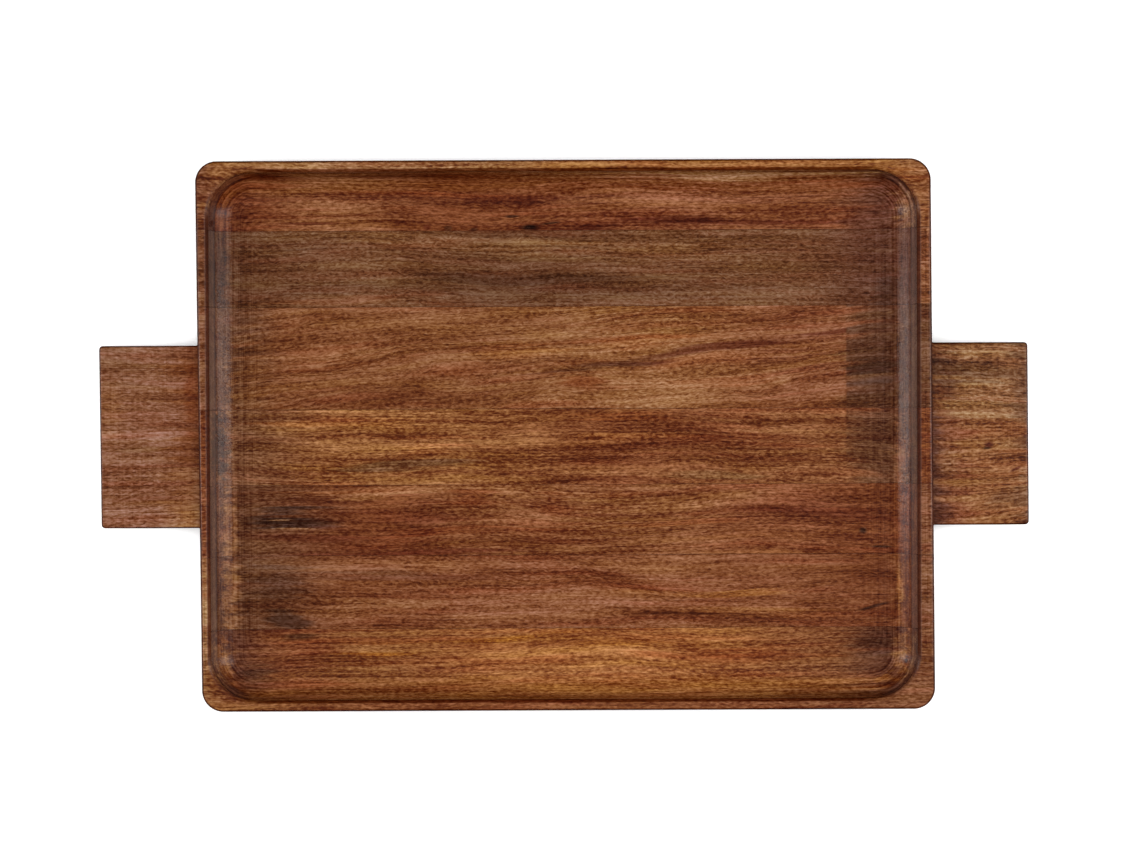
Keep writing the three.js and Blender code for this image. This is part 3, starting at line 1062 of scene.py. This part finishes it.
def wood_material(name, wood, lines=()):
    graph = Graph(name)
    x, y, z = graph.millimetres()
    axes = grain_axes(graph, x, y, z, wood)
    layers = grain_layers(graph, x, y, z, axes, wood["seed"])
    masks = zones(graph, x, y, z, graph.normal())
    colour = along_colour(graph, x, layers["hue"], wood["along"])
    colour = patched(graph, colour, x, axes[0], z, layers["streaks"], wood["patches"])
    if "rim" in wood:
        colour = graph.mix(masks["rim"], colour, along_colour(graph, x, layers["hue"], wood["rim"]))
    colour = figured(graph, colour, layers, masks, wood)
    colour = with_end_grain(graph, colour, z, layers, masks)
    # Painted shade under the rim's inner edge
    colour = darkened(graph, colour, masks["lip"], LIP_TINT)
    colour = darkened(graph, colour, masks["foot"], FOOT_TINT)
    # Painted shade, partly stain: the upper back and front walls darken unevenly along X
    if "wall_stain_and_shade" in wood:
        depth = graph.step(x, *STAIN_AND_SHADE_X, *wood["wall_stain_and_shade"])
        uneven = graph.step(layers["hue"], *STAIN_AND_SHADE_FADE, *STAIN_AND_SHADE_STRENGTH)
        colour = darkened(graph, colour, product(graph, depth, uneven, masks["wall"]), STAIN_AND_SHADE_TINT)
    colour = with_glue_lines(graph, colour, y, lines, layers["bands"])
    # Painted shade, partly the eased edges' darker finish: the outside's steep faces are darkened
    colour = darkened(graph, colour, masks["edge"], EDGE_TINT)
    graph.feed(graph.shader.inputs["Base Color"], colour)
    add_finish(graph, layers, masks)
    return graph.material


# The oiled surface: its gloss, and the relief of its pores. Worn edges lose most of the gloss.
ROUGHNESS = 0.29
STREAK_POLISH = 0.15
PORE_ROUGHNESS = 0.1
END_POLISH = 0.06
SPECULAR = 0.15
WORN_LOSS = 0.14
PITS = (0.58, 0.72)
PIT_DEPTH = 0.8
BUMP_STRENGTH = 0.25
BUMP_DISTANCE = 0.2 * MM  # metres


def add_finish(graph, layers, masks):
    """Rubbed oil: a satin gloss, rougher in the pores and smoother on end grain, and a fine relief."""
    rough = graph.math("MULTIPLY_ADD", layers["streaks"], -STREAK_POLISH, ROUGHNESS)
    rough = graph.math("MULTIPLY_ADD", layers["pores"], PORE_ROUGHNESS, rough)
    rough = graph.math("MULTIPLY_ADD", masks["end"], -END_POLISH, rough)
    graph.feed(graph.shader.inputs["Roughness"], rough)
    sheen_change = graph.math("MAXIMUM", masks["edge"], masks["lip"])
    gloss = graph.math("MULTIPLY_ADD", sheen_change, -WORN_LOSS, SPECULAR)
    graph.feed(graph.shader.inputs["Specular IOR Level"], gloss)
    pits = graph.step(layers["pores"], *PITS, 0.0, -PIT_DEPTH)
    height = graph.math("ADD", layers["fibres"], pits)
    height = graph.math("ADD", height, graph.math("MULTIPLY", layers["tooling"], masks["cross"]))
    bump = graph.nodes.new("ShaderNodeBump")
    bump.inputs["Strength"].default_value = BUMP_STRENGTH
    bump.inputs["Distance"].default_value = BUMP_DISTANCE
    graph.feed(bump.inputs["Height"], height)
    graph.feed(graph.shader.inputs["Normal"], bump.outputs["Normal"])


# ---------------------------------------------------------------- stage, light and camera

CAMERA_DISTANCE = 1.6
CAMERA_LENS = 77.4
SENSOR_WIDTH = 36
CAMERA_TARGET = Vector((3.9 * MM, 1.7 * MM, 30 * MM))
CAMERA_TILT = math.radians(1.0)
CAMERA_ROLL = math.radians(0.25)


def add_camera():
    data = bpy.data.cameras.new("camera")
    data.lens = CAMERA_LENS
    data.sensor_width = SENSOR_WIDTH
    camera = bpy.data.objects.new("camera", data)
    away = Vector((0, math.sin(CAMERA_TILT), math.cos(CAMERA_TILT)))
    camera.location = CAMERA_TARGET + CAMERA_DISTANCE * away
    camera.rotation_euler = (-CAMERA_TILT, 0, -CAMERA_ROLL)
    bpy.context.scene.collection.objects.link(camera)
    bpy.context.scene.camera = camera


# Each light's place and size in metres, its power in watts and whether the gloss shows it
LIGHTS = {
    "softbox_left": ((-1.4, 0, 0.5), (0.35, 1.8), 18, True),
    "softbox_right": ((1.25, 0, 0.8), (0.4, 1.8), 15, True),
    "overhead": ((0, 0, 1.9), (2.6, 2.2), 56, False),
}
WORLD_STRENGTH = 0.14
WHITE = (1, 1, 1, 1)

# The floor glows more with the distance from the tray in mm, so that it stays pale far from the lights
STAGE_HALF = 6.0
FLOOR_COLOUR = (0.96, 0.96, 0.96, 1)
FLOOR_ROUGHNESS = 0.9
GLOW_DISTANCE = (900, 3000)
GLOW = (0.12, 0.95)


def add_light(name, place, size, watts, glossy):
    data = bpy.data.lights.new(name, "AREA")
    data.shape = "RECTANGLE"
    data.size, data.size_y = size
    data.energy = watts
    light = bpy.data.objects.new(name, data)
    light.location = place
    aim = Vector((0, 0, 0)) - light.location
    light.rotation_euler = aim.to_track_quat("-Z", "Y").to_euler()
    light.visible_camera = False
    light.visible_glossy = glossy
    bpy.context.scene.collection.objects.link(light)


def add_floor():
    mesh = bpy.data.meshes.new("floor")
    corners = [(-1, -1), (1, -1), (1, 1), (-1, 1)]
    mesh.from_pydata([(x * STAGE_HALF, y * STAGE_HALF, 0) for x, y in corners], [], [(0, 1, 2, 3)])
    floor = bpy.data.objects.new("floor", mesh)
    bpy.context.scene.collection.objects.link(floor)
    graph = Graph("pale_floor")
    graph.shader.inputs["Base Color"].default_value = FLOOR_COLOUR
    graph.shader.inputs["Roughness"].default_value = FLOOR_ROUGHNESS
    x, y, _ = graph.millimetres()
    distance = graph.vector("LENGTH", graph.join(x, y, 0.0))
    graph.feed(graph.shader.inputs["Emission Strength"], graph.step(distance, *GLOW_DISTANCE, *GLOW))
    graph.shader.inputs["Emission Color"].default_value = WHITE
    mesh.materials.append(graph.material)


def add_world():
    world = bpy.data.worlds.new("studio")
    world.use_nodes = True
    background = world.node_tree.nodes["Background"]
    background.inputs["Color"].default_value = WHITE
    background.inputs["Strength"].default_value = WORLD_STRENGTH
    bpy.context.scene.world = world


# ---------------------------------------------------------------- assembly

def set_stage():
    add_camera()
    for name, light in LIGHTS.items():
        add_light(name, *light)
    add_floor()
    add_world()
    bpy.context.scene.view_settings.view_transform = "Standard"


def add_pieces():
    """Every piece of the tray by the name of its node."""
    slab = slab_mesh()
    pieces = add_staves(slab)
    slab.free()
    for side in ("left", "right"):
        pieces.update(add_handle(side))
    pieces.update(add_dowels())
    return pieces


def dress(pieces):
    """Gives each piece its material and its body."""
    dowel_wood = wood_material("wood_dowel", DOWEL_WOOD)
    for node, piece in pieces.items():
        material = dowel_wood
        if node in WOODS:
            material = wood_material("wood_" + node, WOODS[node], glue_lines(node))
        piece.data.materials.clear()
        piece.data.materials.append(material)
        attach(piece, "root")


set_stage()
dress(add_pieces())
